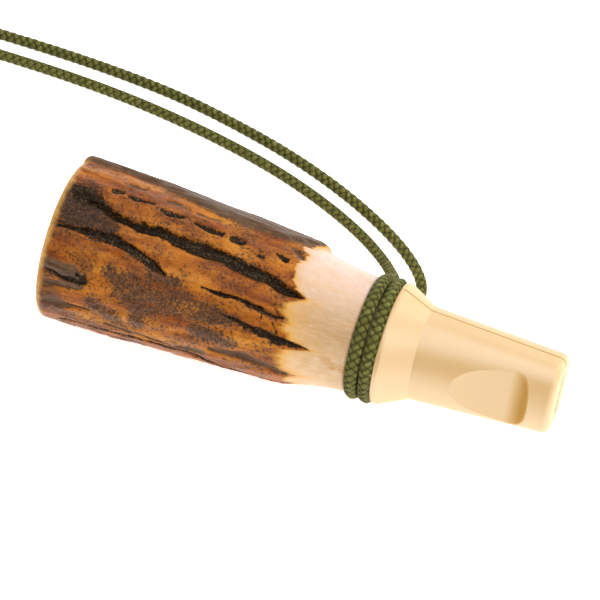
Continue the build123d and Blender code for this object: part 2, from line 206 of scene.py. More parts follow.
class GeometryTree(NodeTree):
    def __init__(self, name, sizes, counts):
        super().__init__(bpy.data.node_groups.new(name, "GeometryNodeTree"))
        sockets = [("Geometry", "INPUT", "NodeSocketGeometry")]
        sockets += [(size, "INPUT", "NodeSocketFloat") for size in sizes]
        sockets += [(count, "INPUT", "NodeSocketInt") for count in counts]
        sockets.append(("Geometry", "OUTPUT", "NodeSocketGeometry"))
        for socket, way, kind in sockets:
            self.tree.interface.new_socket(socket, in_out=way, socket_type=kind)

    def vectors(self, operation, first, second):
        made = self.node("ShaderNodeVectorMath", operation=operation)
        self.link(first, made.inputs[0])
        self.link(second, made.inputs["Scale"] if operation == "SCALE" else made.inputs[1])
        return made.outputs[0]

    def keep(self, geometry, name, value, kind="FLOAT"):
        made = self.node("GeometryNodeStoreNamedAttribute", data_type=kind, domain="POINT")
        made.inputs["Name"].default_value = name
        self.link(geometry, made.inputs["Geometry"])
        self.link(value, made.inputs["Value"])
        return made.outputs["Geometry"]

    def recall(self, name):
        made = self.node("GeometryNodeInputNamedAttribute", data_type="FLOAT_VECTOR")
        made.inputs["Name"].default_value = name
        return made.outputs["Attribute"]


def makeMesh(name, points, faces, attributes=None):
    data = bpy.data.meshes.new(name)
    data.from_pydata([tuple(point) for point in points], [], [tuple(face) for face in faces])
    data.update()
    for key, values in (attributes or {}).items():
        layer = data.attributes.new(key, "FLOAT", "POINT")
        layer.data.foreach_set("value", np.asarray(values, dtype=np.float32))
    for polygon in data.polygons:
        polygon.use_smooth = True
    piece = bpy.data.objects.new(name, data)
    bpy.context.collection.objects.link(piece)
    return piece


# Faces of a grid of points that is closed both ways
def ringFaces(rows, columns):
    faces = []
    for row in range(rows):
        below = (row + 1) % rows
        for column in range(columns):
            after = (column + 1) % columns
            faces.append((
                row * columns + column,
                row * columns + after,
                below * columns + after,
                below * columns + column,
            ))
    return faces


# Neck cord: the route of each stretch, in millimetres as in the part's source
cordSettings = {
    "diameter": 2.1,
    "pitch": 2.58,  # between turns that lie side by side
    "floor": -11.6,
    "wrapRadius": 10.45,
    "wrapFirst": 58.62,
    "wrapAngles": (35.0, 630.0),
    "wrapCross": (270.0, 395.0),  # where the first turn crosses over to the second
    "wrapPoints": 44,
    "coilCenter": (-52.0, 26.58),
    "coilOuter": 15.42,
    "coilFloor": -11.05,
    "coilTurns": (3.0, 0.5, 2.5),  # inwards, climbing, outwards
    "coilPointsPerTurn": 16,
    "knotEnd": (-78.0, 44.5, -9.65),
    "strandApart": 1.17,
    "strands": 6,
    "lead": 4.5,
    "strandWidth": 0.64,
    "strandDepth": 0.28,
    "orbitRadius": 0.68,
    "weave": 0.12,
    "sides": 6,
    "step": 0.16,
    "longStep": 0.22,
    "wrapSpread": 1.2,  # the turns in the groove are a little thicker
}
cordFloor = cordSettings["floor"]


def smoothShare(share):
    share = min(max(share, 0.0), 1.0)
    return (1 - math.cos(math.pi * share)) / 2


def wrapPoint(angle):
    settings = cordSettings
    first, last = settings["wrapCross"]
    turn = math.radians(angle)
    x = settings["wrapFirst"] + settings["pitch"] * smoothShare((angle - first) / (last - first))
    return (x, settings["wrapRadius"] * math.cos(turn), settings["wrapRadius"] * math.sin(turn))


def coilPoint(turn):
    settings = cordSettings
    inTurns, climbTurns = settings["coilTurns"][:2]
    angle = 2 * math.pi * (turn + 0.25)
    turning = inTurns + climbTurns / 2
    radius = settings["coilOuter"] - settings["pitch"] * (turning - abs(turn - turning))
    height = settings["coilFloor"] + settings["pitch"] * smoothShare((turn - inTurns) / climbTurns)
    return (
        settings["coilCenter"][0] + radius * math.cos(angle),
        settings["coilCenter"][1] + radius * math.sin(angle),
        height,
    )


# A point of the route's end, carried on in the direction that it has there
def endAfter(point, spot, reach, step=0.0001):
    here = Vector(point(spot))
    way = (Vector(point(spot + step)) - Vector(point(spot - step))).normalized()
    return tuple(here + way * reach)


wrapFrom, wrapTo = cordSettings["wrapAngles"]
wrapStart = endAfter(wrapPoint, wrapFrom, -cordSettings["diameter"])
wrapEnd = endAfter(wrapPoint, wrapTo, cordSettings["diameter"])
coilTotal = sum(cordSettings["coilTurns"])
coilStart = endAfter(coilPoint, 0.0, -cordSettings["diameter"])
coilEnd = endAfter(coilPoint, coilTotal, cordSettings["diameter"])
knotEnd = cordSettings["knotEnd"]
strandApart = cordSettings["strandApart"]

frontRoute = [
    wrapStart,
    (58.9, 12.9, -0.6),
    (57.0, 17.2, -5.8),
    (53.5, 22.3, -9.9),
    (47.3, 27.3, cordFloor),
    (38.2, 31.6, cordFloor),
    (26.6, 35.6, cordFloor),
    (12.4, 38.8, cordFloor),
    (-3.5, 41.1, cordFloor),
    (-19.0, 42.1, cordFloor),
    (-34.5, 42.3, cordFloor),
    coilStart,
]
backRoute = [
    wrapEnd,
    (61.2, 6.4, -10.8),
    (61.7, 11.3, -11.4),
    (62.6, 16.0, cordFloor),
    (62.0, 20.4, cordFloor),
    (59.2, 24.0, cordFloor),
    (54.6, 27.7, cordFloor),
    (48.4, 31.4, cordFloor),
    (40.0, 35.4, cordFloor),
    (29.2, 39.3, cordFloor),
    (18.0, 42.2, cordFloor),
    (5.6, 44.7, cordFloor),
    (-7.6, 46.0, cordFloor),
    (-20.6, 46.6, cordFloor),
    (-34.0, 46.7, cordFloor),
    (-46.0, 46.9, cordFloor),
    (-57.0, 46.8, cordFloor),
    (-67.5, 46.3, -10.9),
    (knotEnd[0], knotEnd[1] + strandApart, knotEnd[2]),
]
tailRoute = [
    coilEnd,
    (-61.0, 42.1, -8.6),
    (-69.0, 42.9, -9.2),
    (knotEnd[0], knotEnd[1] - strandApart, knotEnd[2]),
]
coilCount = int(coilTotal * cordSettings["coilPointsPerTurn"])
coilRoute = [coilPoint(coilTotal * index / coilCount) for index in range(coilCount + 1)]
wrapCount = cordSettings["wrapPoints"]
wrapRoute = [wrapStart]
for index in range(wrapCount + 1):
    wrapRoute.append(wrapPoint(wrapFrom + (wrapTo - wrapFrom) * index / wrapCount))
wrapRoute.append(wrapEnd)


def makeSpline(name, route):
    data = bpy.data.curves.new(name, "CURVE")
    data.dimensions = "3D"
    data.resolution_u = 16
    spline = data.splines.new("NURBS")
    spline.points.add(len(route) - 1)
    for point, place in zip(spline.points, route):
        point.co = (*[value * millimetre for value in place], 1.0)
    spline.order_u = 3
    spline.use_endpoint_u = True
    made = bpy.data.objects.new(name, data)
    bpy.context.collection.objects.link(made)
    return made


# The line that a braid follows, cut into even steps, with its directions kept on it
def braidLine(tree, sizes):
    toCurve = tree.node("GeometryNodeMeshToCurve")
    resample = tree.node("GeometryNodeResampleCurve", mode="LENGTH")
    tree.link(sizes["Geometry"], toCurve.inputs["Mesh"])
    tree.link(toCurve.outputs["Curve"], resample.inputs["Curve"])
    tree.link(sizes["Step"], resample.inputs["Length"])
    along = tree.node("GeometryNodeSplineParameter").outputs["Length"]
    normal = tree.node("GeometryNodeInputNormal").outputs["Normal"]
    tangent = tree.node("GeometryNodeInputTangent").outputs["Tangent"]
    line = tree.keep(resample.outputs["Curve"], "along", along)
    line = tree.keep(line, "sideways", normal, "FLOAT_VECTOR")
    line = tree.keep(line, "upwards", tree.vectors("CROSS_PRODUCT", tangent, normal), "FLOAT_VECTOR")
    return line, along


# A strand's flat section, with a value that is highest on its outer side
def strandSection(tree, sizes):
    circle = tree.node("GeometryNodeCurvePrimitiveCircle")
    circle.inputs["Radius"].default_value = 1.0
    tree.link(sizes["Sides"], circle.inputs["Resolution"])
    flatness = tree.node("ShaderNodeCombineXYZ")
    tree.link(sizes["Strand Depth"], flatness.inputs["X"])
    tree.link(sizes["Strand Width"], flatness.inputs["Y"])
    flat = tree.node("GeometryNodeTransform")
    tree.link(circle.outputs["Curve"], flat.inputs["Geometry"])
    tree.link(flatness.outputs["Vector"], flat.inputs["Scale"])
    share = tree.node("GeometryNodeSplineParameter").outputs["Factor"]
    return tree.keep(flat.outputs["Geometry"], "crown", tree.math("COSINE", tree.times(share, 2 * math.pi)))


# One strand: the line moved out to where the strand winds, with the section swept along it
def braidStrand(tree, line, section, angle, lift, radius):
    outwards = tree.vectors(
        "ADD",
        tree.vectors("SCALE", tree.recall("sideways"), tree.math("COSINE", angle)),
        tree.vectors("SCALE", tree.recall("upwards"), tree.math("SINE", angle)),
    )
    strand = tree.keep(tree.keep(line, "lift", lift), "outwards", outwards, "FLOAT_VECTOR")
    place = tree.node("GeometryNodeSetPosition")
    tree.link(strand, place.inputs["Geometry"])
    tree.link(tree.vectors("SCALE", outwards, radius), place.inputs["Offset"])
    face = tree.node("GeometryNodeSetCurveNormal", mode="FREE")
    tree.link(place.outputs["Geometry"], face.inputs["Curve"])
    tree.link(tree.recall("outwards"), face.inputs["Normal"])
    tube = tree.node("GeometryNodeCurveToMesh")
    tube.inputs["Fill Caps"].default_value = True
    tree.link(face.outputs["Curve"], tube.inputs["Curve"])
    tree.link(section, tube.inputs["Profile Curve"])
    return tube.outputs["Mesh"]


# A round braid: flat strands wind both ways along a line and pass over and under each other
def braidTree(material, strands):
    lengths = ("Lead", "Strand Width", "Strand Depth", "Orbit Radius", "Weave", "Step")
    tree = GeometryTree("roundBraid", lengths, ("Sides",))
    sizes = tree.node("NodeGroupInput").outputs
    line, along = braidLine(tree, sizes)
    section = strandSection(tree, sizes)
    turn = tree.math("DIVIDE", tree.times(along, 2 * math.pi), sizes["Lead"])
    wave = tree.math("SINE", tree.times(turn, strands / 2))
    join = tree.node("GeometryNodeJoinGeometry")
    apart = 4 * math.pi / strands
    for way, shift in ((1, 0.0), (-1, apart / 2)):
        lift = tree.times(wave, way)
        radius = tree.plus(sizes["Orbit Radius"], tree.times(lift, sizes["Weave"]))
        for index in range(strands // 2):
            angle = tree.plus(tree.times(turn, way), apart * index + shift)
            tree.link(braidStrand(tree, line, section, angle, lift, radius), join.inputs["Geometry"])
    whole = join.outputs["Geometry"]
    for name in ("sideways", "upwards", "outwards"):
        dropped = tree.node("GeometryNodeRemoveAttribute")
        dropped.inputs["Name"].default_value = name
        tree.link(whole, dropped.inputs["Geometry"])
        whole = dropped.outputs["Geometry"]
    for kind in ("GeometryNodeSetShadeSmooth", "GeometryNodeRealizeInstances", "GeometryNodeSetMaterial"):
        finish = tree.node(kind)
        tree.link(whole, finish.inputs["Geometry"])
        whole = finish.outputs["Geometry"]
    finish.inputs["Material"].default_value = material
    tree.link(whole, tree.node("NodeGroupOutput").inputs["Geometry"])
    return tree.tree


# The evaluated object as a mesh object of its own
def plainMesh(source, name):
    graph = bpy.context.evaluated_depsgraph_get()
    data = bpy.data.meshes.new_from_object(source.evaluated_get(graph))
    data.name = name
    made = bpy.data.objects.new(name, data)
    bpy.context.collection.objects.link(made)
    return made


cordLooks = {
    "fibres": [
        (0.3, (0.088, 0.088, 0.017)),
        (0.52, (0.19, 0.184, 0.04)),
        (0.75, (0.40, 0.375, 0.12)),
    ],
    "faded": (0.125, 0.126, 0.026),
    "fibreScales": (700.0, 6.0),  # along and across a strand
    "patchScale": 260.0,
    "patchFade": (0.0, 0.5, 0.42, 0.7),
    "underShade": (0.03, 1.0, -0.9, 0.55),  # painted shade where a strand passes under another
    "edges": (0.04, 1.0, 0.0, 0.85),  # painted shade at a strand's edges, in the gaps between strands
    "roughness": (0.6, 0.85),
    "bump": (0.5, 0.0001),  # strength and depth
}


def makeCordMaterial(looks):
    shader = Shader("oliveCord")
    crown = shader.attribute("crown")
    alongScale, acrossScale = looks["fibreScales"]
    fibrePlace = shader.node("ShaderNodeCombineXYZ")
    shader.link(shader.times(shader.attribute("along"), alongScale), fibrePlace.inputs["X"])
    shader.link(shader.times(crown, acrossScale), fibrePlace.inputs["Y"])
    fibres = shader.noise(fibrePlace.outputs["Vector"], 1.0, detail=3.0)
    patches = shader.noise(shader.coordinates(), looks["patchScale"], detail=3.0)
    tone = shader.ramp(fibres, looks["fibres"])
    faded = shader.mix(shader.spread(patches, *looks["patchFade"]), tone, looks["faded"])
    # Painted shade: darker where a strand passes under another and at its edges
    underShade = shader.spread(shader.attribute("lift"), *looks["underShade"])
    edges = shader.spread(crown, *looks["edges"])
    shader.feed("Base Color", shader.mix(1.0, faded, shader.times(underShade, edges), "MULTIPLY"))
    shader.feed("Roughness", shader.spread(fibres, *looks["roughness"]))
    shader.set(Sheen_Weight=0.02, Sheen_Roughness=0.5, Specular_IOR_Level=0.15)
    shader.bump(fibres, *looks["bump"])
    return shader.material


cordMaterial = makeCordMaterial(cordLooks)
cordTree = braidTree(cordMaterial, cordSettings["strands"])


# The braid along a route, and the smooth line that it follows
def makeBraid(name, route, step=cordSettings["step"], spread=1.0):
    spline = makeSpline(name + "Line", route)
    line = plainMesh(spline, name + "Path")
    path = [tuple(vertex.co) for vertex in line.data.vertices]
    modifier = line.modifiers.new("braid", "NODES")
    modifier.node_group = cordTree
    values = {
        "Lead": cordSettings["lead"] * millimetre,
        "Strand Width": cordSettings["strandWidth"] * spread * millimetre,
        "Strand Depth": cordSettings["strandDepth"] * spread * millimetre,
        "Orbit Radius": cordSettings["orbitRadius"] * spread * millimetre,
        "Weave": cordSettings["weave"] * spread * millimetre,
        "Step": step * millimetre,
        "Sides": cordSettings["sides"],
    }
    for item in cordTree.interface.items_tree:
        if item.in_out == "INPUT" and item.name in values:
            modifier[item.identifier] = values[item.name]
    bpy.context.view_layer.update()
    piece = plainMesh(line, name)
    bpy.data.objects.remove(line)
    bpy.data.objects.remove(spline)
    return piece, path


def pathLength(path):
    return sum(math.dist(first, second) for first, second in zip(path, path[1:]))


wrapCord, wrapPath = makeBraid("cordWrap", wrapRoute, spread=cordSettings["wrapSpread"])
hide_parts("lanyard_wrap")
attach(wrapCord, "mouthpiece")

longRoute = frontRoute + coilRoute[1:-1] + tailRoute
frontCord, frontPath = makeBraid("cordFront", longRoute, step=cordSettings["longStep"])
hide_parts("lanyard_front_strand", "lanyard_coil", "lanyard_tail_strand")
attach(frontCord, "mouthpiece")

backCord, backPath = makeBraid("cordBack", backRoute)
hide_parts("lanyard_back_strand")
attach(backCord, "mouthpiece")
cordLengths = [round(pathLength(path), 4) for path in (frontPath, backPath, wrapPath)]
print("stage: cords", *cordLengths)


# Knot: the two ends side by side, with close turns of cord round them, and two short tails
knotSettings = {
    "length": 9.0,
    "tail": 6.0,
    "bow": 0.25,  # how far the ends rise and fall as they pass through
    "pinch": 0.95,  # half the gap between them under the turns
    "turns": 3.0,
    "turnInset": 1.1,
    "turnWide": 2.25,
    "turnHigh": 1.72,
    "pointsPerTurn": 12,
}


def makeKnot(settings):
    startX, middleY, middleZ = knotEnd
    length = settings["length"]
    routes = []
    for side in (1, -1):
        bow = settings["bow"] * side
        pinched = middleY + settings["pinch"] * side
        routes.append([
            (startX + 0.3, middleY + strandApart * side, middleZ),
            (startX - 2.0, pinched, middleZ + bow),
            (startX - 5.5, pinched, middleZ - bow),
            (startX - length - 0.6, middleY + 1.05 * side, middleZ),
            (startX - length - 3.0, middleY + 1.5 * side, middleZ - 0.7),
            (startX - length - settings["tail"], middleY + 1.9 * side, middleZ - 1.5),
        ])
    inset = settings["turnInset"]
    count = int(settings["turns"] * settings["pointsPerTurn"])
    turnRoute = []
    for index in range(count + 1):
        share = index / count
        angle = 2 * math.pi * settings["turns"] * share + math.pi / 2
        turnRoute.append((
            startX - inset - (length - 2 * inset) * share,
            middleY + settings["turnWide"] * math.cos(angle),
            middleZ + settings["turnHigh"] * math.sin(angle),
        ))
    return [*routes, turnRoute]


knotParts = []
for index, route in enumerate(makeKnot(knotSettings)):
    knotParts.append(makeBraid(f"knotPart{index}", route)[0])


# One mesh object from several, with their materials and named values kept
def joinPieces(name, parts):
    with bpy.context.temp_override(
        active_object=parts[0], object=parts[0], selected_objects=parts, selected_editable_objects=parts
    ):
        bpy.ops.object.join()
    parts[0].name = name
    parts[0].data.name = name
    return parts[0]


cordKnot = joinPieces("cordKnot", knotParts)
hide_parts("lanyard_knot")
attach(cordKnot, "mouthpiece")
print("stage: knot")


# Tie: a woven strap round the coil's turns
tieSettings = {
    "angle": 315.0,
    "width": 4.0,
    "thickness": 0.4,
    "round": 0.9,
    "cornerSteps": 6,
    "rows": 9,
    "selvedge": 0.12,  # how far the strap thins at its two edges
}


def makeTie(settings):
    lowest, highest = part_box("coil_tie")
    width = settings["width"]
    thickness = settings["thickness"]
    turn = math.radians(settings["angle"])
    outwards = Vector((math.cos(turn), math.sin(turn), 0.0))
    sideways = Vector((-math.sin(turn), math.cos(turn), 0.0))
    upwards = Vector((0.0, 0.0, 1.0))
    center = (Vector(lowest) + Vector(highest)) / 2

    # The strap stands at 45 degrees in its box, so a side of the box spans its length and its width
    length = (highest[0] - lowest[0]) / abs(outwards.x) / millimetre - width
    height = (highest[2] - lowest[2]) / millimetre
    corner = settings["round"]
    steps = settings["cornerSteps"]
    outline = []
    for cornerX, cornerZ, startAngle in ((1, -1, -90), (1, 1, 0), (-1, 1, 90), (-1, -1, 180)):
        for index in range(steps + 1):
            angle = math.radians(startAngle + 90 * index / steps)
            outline.append((
                cornerX * (length / 2 - corner) + corner * math.cos(angle),
                cornerZ * (height / 2 - corner) + corner * math.sin(angle),
            ))
    wides = [(row / (settings["rows"] - 1) - 0.5) * width for row in range(settings["rows"])]
    loop = [(wide, 0.0) for wide in wides] + [(-wide, thickness) for wide in wides]
    points = []
    for index, (across, rise) in enumerate(outline):
        before = Vector(outline[index - 1])
        after = Vector(outline[(index + 1) % len(outline)])
        way = (after - before).normalized()
        inward = Vector((-way.y, way.x))
        for wide, deep in loop:
            edge = settings["selvedge"] * (abs(wide) / (width / 2)) ** 6
            push = inward * (deep * (1 - edge) + edge * thickness / 2)
            offset = outwards * (across + push.x) + sideways * wide + upwards * (rise + push.y)
            points.append(center + offset * millimetre)
    return makeMesh("coilTie", points, ringFaces(len(outline), len(loop)))


strapLooks = {
    "ribScale": 700.0,
    "ribWaver": 1.2,
    "ribTones": ((0.012, 0.012, 0.01), (0.05, 0.05, 0.042)),
    "fuzzScale": 2600.0,
    "fuzzTone": (0.035, 0.034, 0.03),
    "fuzzShare": 0.4,
    "roughness": (0.7, 0.9),
    "bump": (0.6, 0.0001),  # strength and depth
}


def makeStrapMaterial(looks):
    shader = Shader("tieStrap")
    place = shader.coordinates()
    ribs = shader.node("ShaderNodeTexWave", bands_direction="DIAGONAL")
    ribs.inputs["Scale"].default_value = looks["ribScale"]
    ribs.inputs["Distortion"].default_value = looks["ribWaver"]
    shader.link(place, ribs.inputs["Vector"])
    fuzz = shader.noise(place, looks["fuzzScale"])
    tone = shader.mix(ribs.outputs["Fac"], *looks["ribTones"])
    fuzzy = shader.spread(fuzz, 0.0, looks["fuzzShare"])
    shader.feed("Base Color", shader.mix(fuzzy, tone, looks["fuzzTone"]))
    shader.feed("Roughness", shader.spread(fuzz, *looks["roughness"]))
    shader.bump(ribs.outputs["Fac"], *looks["bump"])
    return shader.material


coilTie = makeTie(tieSettings)
coilTie.data.materials.append(makeStrapMaterial(strapLooks))
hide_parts("coil_tie")
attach(coilTie, "mouthpiece")
print("stage: tie")


# Antler barrel: the same sizes as in the part's source, in millimetres
antlerSettings = {
    "barkLength": 46.0,
    "neckEnd": 57.4,
    "halfWidths": (14.9, 14.0, 12.65),
    "rises": (1.6, 0.9, 0.0),
    "neckRadii": (12.65, 11.35, 10.65),
    "underside": 12.65,
    "boreRadius": 8.0,
    "socketRadius": 8.25,
    "socketStart": 40.0,
    "bellRound": 1.4,
    "neckRound": 0.5,
    "rows": {
        "bore": 12,
        "socket": 6,
        "end": 3,
        "neckRound": 4,
        "neck": 52,
        "bark": 202,
        "bellRound": 7,
        "face": 6,
    },
    "frontColumns": 215,
    "backColumns": 75,
    "frontAngles": (-85.0, 130.0),
    "seed": 7,
    "markWander": (0.8, 0.9),  # how far marks stray along the barrel and round it
    "markRagged": 0.5,
    "edgeWander": 0.7,
    "edgeSplinter": 1.5,
    "edgeSoftness": (0.75, 2.85),  # of the bark's end, on top and in front
    "softAngles": (12.0, 26.0),
    "haloReach": 1.6,  # of the tan beyond the bark, in softnesses
    "wornSpan": (0.8, 2.3),  # the relief fades out here towards the bell
    "rimSpan": (0.3, 1.6),  # and the amber rim begins here
    "rimRagged": (0.7, 0.6),
    "ridgeCalm": 0.6,  # share of the grain that the ridge goes without
    "ridgeOverRim": 0.7,  # share of the amber rim that the ridge hides
    "wornLoss": 0.8,  # share of the relief that is worn off at the bell
    "relief": {
        "grain": 0.45,
        "pebble": 0.2,
        "ridgeFlutes": 0.3,
        "furrowFlutes": 0.15,
        "furrowGrit": 0.45,
        "duskGrit": 0.3,
        "neckFlutes": 0.03,
    },
}
floorHeight = -antlerSettings["underside"] * millimetre

# Noises in the bark: sizes of their cells along the barrel and across it, each with the next seed
barkNoises = {
    "ragged": (1.6, 0.7),
    "wander": (4.0, 1.8),
    "grain": (7.0, 1.5),
    "pebble": (1.0, 0.6),
    "fluting": (9.0, 0.55),
    "splinter": (4.0, 0.5),
    "grit": (0.75, 0.5),
}

# Where each kind of mark fades out, in half widths: first its relief, then its colour
markEdges = {
    "furrow": ((0.3, 1.25), (0.5, 1.3)),
    "streak": ((0.3, 1.25), (0.5, 1.3)),
    "ridge": ((0.7, 1.12), (0.8, 1.25)),
    "dusk": ((0.0, 1.0), (0.4, 1.9)),
    "shade": ((0.0, 1.0), (0.5, 1.6)),
    "stain": ((0.0, 1.0), (0.0, 2.4)),
}

# Marks in the bark: kind, height, then places along the barrel, angles from the top and half widths
barkMarks = (
    ("furrow", -0.4, ((1.6, -8, 1.2), (4.2, -6, 2.3), (7.2, -2, 1.7), (9.4, 2, 0.9))),
    ("shade", -0.15, ((1.4, -4, 2.4), (4.0, 4, 4.2), (7.5, 9, 3.4), (10.5, 15, 1.8))),
    ("furrow", -1.1, (
        (5.0, -3, 0.4), (10.7, 3.5, 0.75), (14.7, 5, 0.8), (19.4, 4, 1.15), (24.4, 6, 1.3),
        (30.8, 5.5, 1.7), (36.0, 9, 1.9), (41.5, 12, 1.4), (44.3, 15, 1.0), (47.4, 16.5, 0.2),
    )),
    ("furrow", -0.6, ((8.5, -17.5, 0.6), (10.0, -18.5, 0.5))),
    ("furrow", -0.6, ((11.4, -17.5, 0.45), (14.0, -17.5, 0.7), (16.1, -18, 0.4))),
    ("furrow", -0.6, ((18.1, -14.5, 0.5), (20.0, -14.5, 0.75), (21.9, -15, 0.6))),
    ("furrow", -0.6, ((24.7, -13.5, 0.45), (27.0, -14, 0.7), (29.2, -14.5, 0.65))),
    ("furrow", -0.6, ((31.6, -13, 0.85), (33.4, -13.5, 0.8))),
    ("furrow", -0.4, ((36.9, -7, 0.45), (37.8, -6.5, 0.45))),
    ("furrow", -0.5, ((40.2, -14, 0.55), (42.0, -10.5, 0.65))),
    ("streak", -0.4, ((42.2, -27.5, 0.7), (44.4, -19, 0.7))),
    ("streak", -0.3, ((10.6, -31.5, 0.5), (13.0, -33, 0.5))),
    ("streak", -0.3, ((18.2, -27, 0.5), (21.2, -26.5, 0.5))),
    ("streak", -0.3, ((24.0, -25, 0.5), (28.1, -25.5, 0.5))),
    ("furrow", -0.7, (
        (-0.5, 22.5, 0.25), (5.3, 21, 0.5), (8.9, 21, 1.0), (12.6, 21.5, 1.2),
        (15.1, 23, 1.0), (17.8, 26.5, 1.0), (20.5, 30.5, 0.9), (22.6, 33.5, 0.3),
    )),
    ("furrow", -0.6, (
        (29.5, 33.5, 0.3), (35.3, 34, 0.55), (40.0, 34.5, 0.7), (42.7, 37, 0.5), (45.6, 36.5, 0.15),
    )),
    ("streak", 0.6, ((0.8, 48.5, 0.7), (2.4, 49, 1.1), (6.5, 51.5, 1.1), (8.4, 53.5, 0.7))),
    ("furrow", -0.45, ((2.0, 54.5, 0.15), (5.5, 57, 0.35), (7.6, 57.5, 0.6), (8.8, 57, 0.3))),
    ("shade", -0.1, ((1.5, 52.5, 0.8), (7.6, 55.5, 0.9))),
    ("furrow", -0.3, ((7.8, 53, 0.3), (9.0, 55, 0.6))),
    ("stain", 0.0, ((53.6, 66, 0.7), (56.8, 73, 1.3))),
    ("furrow", -0.2, ((42.6, 30, 0.15), (43.8, 34, 0.2), (45.4, 36.5, 0.15))),
    ("furrow", -0.2, ((41.0, 39, 0.2), (41.2, 43.5, 0.15))),
    ("furrow", -0.2, ((43.2, 42.5, 0.15), (44.4, 49.5, 0.25))),
    ("streak", -0.3, ((1.8, 65.5, 0.9), (8.3, 61.5, 0.8))),
    ("streak", -0.4, ((0.9, 82.5, 0.7), (3.3, 82.5, 0.9), (10.5, 79.5, 0.3))),
    ("streak", -0.3, ((13.7, 88.5, 0.4), (19.1, 90.5, 0.6), (24.0, 92, 0.3))),
    ("streak", -0.3, ((26.8, 93, 0.5), (31.6, 91, 0.7))),
    ("furrow", -0.7, ((34.5, 49, 0.3), (39.0, 53, 0.7), (44.3, 55, 1.1), (48.4, 56.5, 0.8), (50.4, 59, 0.2))),
    ("streak", -0.6, ((33.4, 84.5, 0.8), (38.7, 81.5, 1.2), (44.1, 86, 1.2), (48.4, 96, 0.3))),
    ("furrow", -0.4, (
        (4.7, 102, 0.4), (18.1, 99, 0.6), (29.3, 100, 0.7), (38.4, 110, 0.7), (47.4, 121.5, 0.3),
    )),
    ("ridge", 1.0, (
        (0.9, -58, 2.6), (5.0, -61, 3.6), (11.5, -63, 3.2), (20.0, -57, 4.0),
        (27.0, -52, 4.6), (38.6, -52, 4.6), (44.0, -56, 3.6), (47.4, -57, 2.0),
    )),
    ("furrow", -0.6, ((2.5, -66, 0.3), (9.0, -69, 0.7), (16.0, -66, 0.6), (23.0, -62, 0.2))),
    ("furrow", -0.5, ((21.0, -69, 0.2), (30.0, -66, 0.6), (37.0, -65, 0.5), (43.5, -68, 0.2))),
    ("dusk", 0.0, ((3.2, 10, 2.1), (6.0, 13, 2.6), (10.0, 17, 1.6))),
    ("dusk", 0.0, ((4.0, -78, 1.4), (12.0, -80, 1.8), (20.0, -74, 1.2))),
    ("dusk", 0.0, ((26.0, -80, 1.4), (34.0, -84, 1.8), (42.0, -86, 1.0))),
    ("dusk", 0.0, ((8.0, -104, 1.2), (18.0, -106, 1.8), (30.0, -104, 1.2))),
    ("dusk", 0.0, ((14.0, -128, 1.4), (28.0, -130, 1.8), (40.0, -132, 1.2))),
    ("dusk", 0.0, (
        (13.2, 44.5, 1.2), (16.7, 50, 2.4), (20.3, 56, 2.8),
        (24.1, 53, 2.4), (28.2, 50.5, 2.4), (36.1, 52, 1.0),
    )),
    ("dusk", 0.0, ((18.2, 60, 1.8), (19.8, 75, 1.6))),
    ("dusk", 0.0, ((20.5, 35.5, 1.2), (25.5, 36, 0.6))),
    ("dusk", 0.0, ((11.0, 70, 1.2), (15.0, 78, 1.6))),
    ("dusk", 0.0, ((30.0, 68, 1.4), (37.0, 70, 1.0))),
    ("furrow", -0.9, ((-1.0, -88, 0.8), (12.0, -91, 1.4), (26.0, -95, 0.3))),
    ("furrow", -0.8, ((20.0, -112, 0.4), (34.0, -115, 1.3), (47.0, -118, 0.3))),
    ("furrow", -0.8, ((-1.0, -140, 0.8), (20.0, -143, 1.4), (40.0, -146, 0.3))),
    ("furrow", -0.7, ((-1.0, 118, 0.6), (18.0, 122, 1.1), (38.0, 126, 0.3))),
)

# Where the bark gives way to the bare neck, as places along the barrel by angle
barkEdge = (
    (-150, 45.0), (-118, 48.0), (-95, 44.6), (-70, 47.0), (-51, 46.4), (-34, 44.0), (-20, 45.0),
    (-6, 43.6), (3.5, 44.6), (11, 45.6), (16.5, 48.3), (21, 45.9), (25, 44.8), (34.5, 45.6),
    (45, 46.1), (54, 47.4), (59, 50.6), (63, 46.9), (70, 45.9), (77.5, 46.2), (88, 47.0),
    (93.5, 49.2), (99, 46.6), (121, 48.4), (150, 45.2),
)


# A curve through three values, at the start, the middle and the end
def lengthwise(x, values, start, end):
    share = np.clip((x - start) / (end - start), 0.0, 1.0)
    first, middle, last = values
    return (
        first * (1 - share) * (1 - 2 * share)
        + middle * 4 * share * (1 - share)
        + last * share * (2 * share - 1)
    )


# Soft lattice noise between 0 and 1, at points in millimetres over cells of the given sizes
def latticeNoise(points, cells, seed, size=32):
    table = np.random.default_rng(seed).random((size, size, size))
    scaled = points / np.asarray(cells)
    base = np.floor(scaled).astype(int)
    part = scaled - base
    part = part * part * (3 - 2 * part)
    total = np.zeros(points.shape[:-1])
    for corner in np.ndindex(2, 2, 2):
        weight = np.ones(points.shape[:-1])
        for axis in range(3):
            weight = weight * (part[..., axis] if corner[axis] else 1 - part[..., axis])
        cell = (base + np.asarray(corner)) % size
        total += weight * table[cell[..., 0], cell[..., 1], cell[..., 2]]
    return total


def easeBetween(value, low, high):
    share = np.clip((value - low) / (high - low), 0.0, 1.0)
    return share * share * (3 - 2 * share)


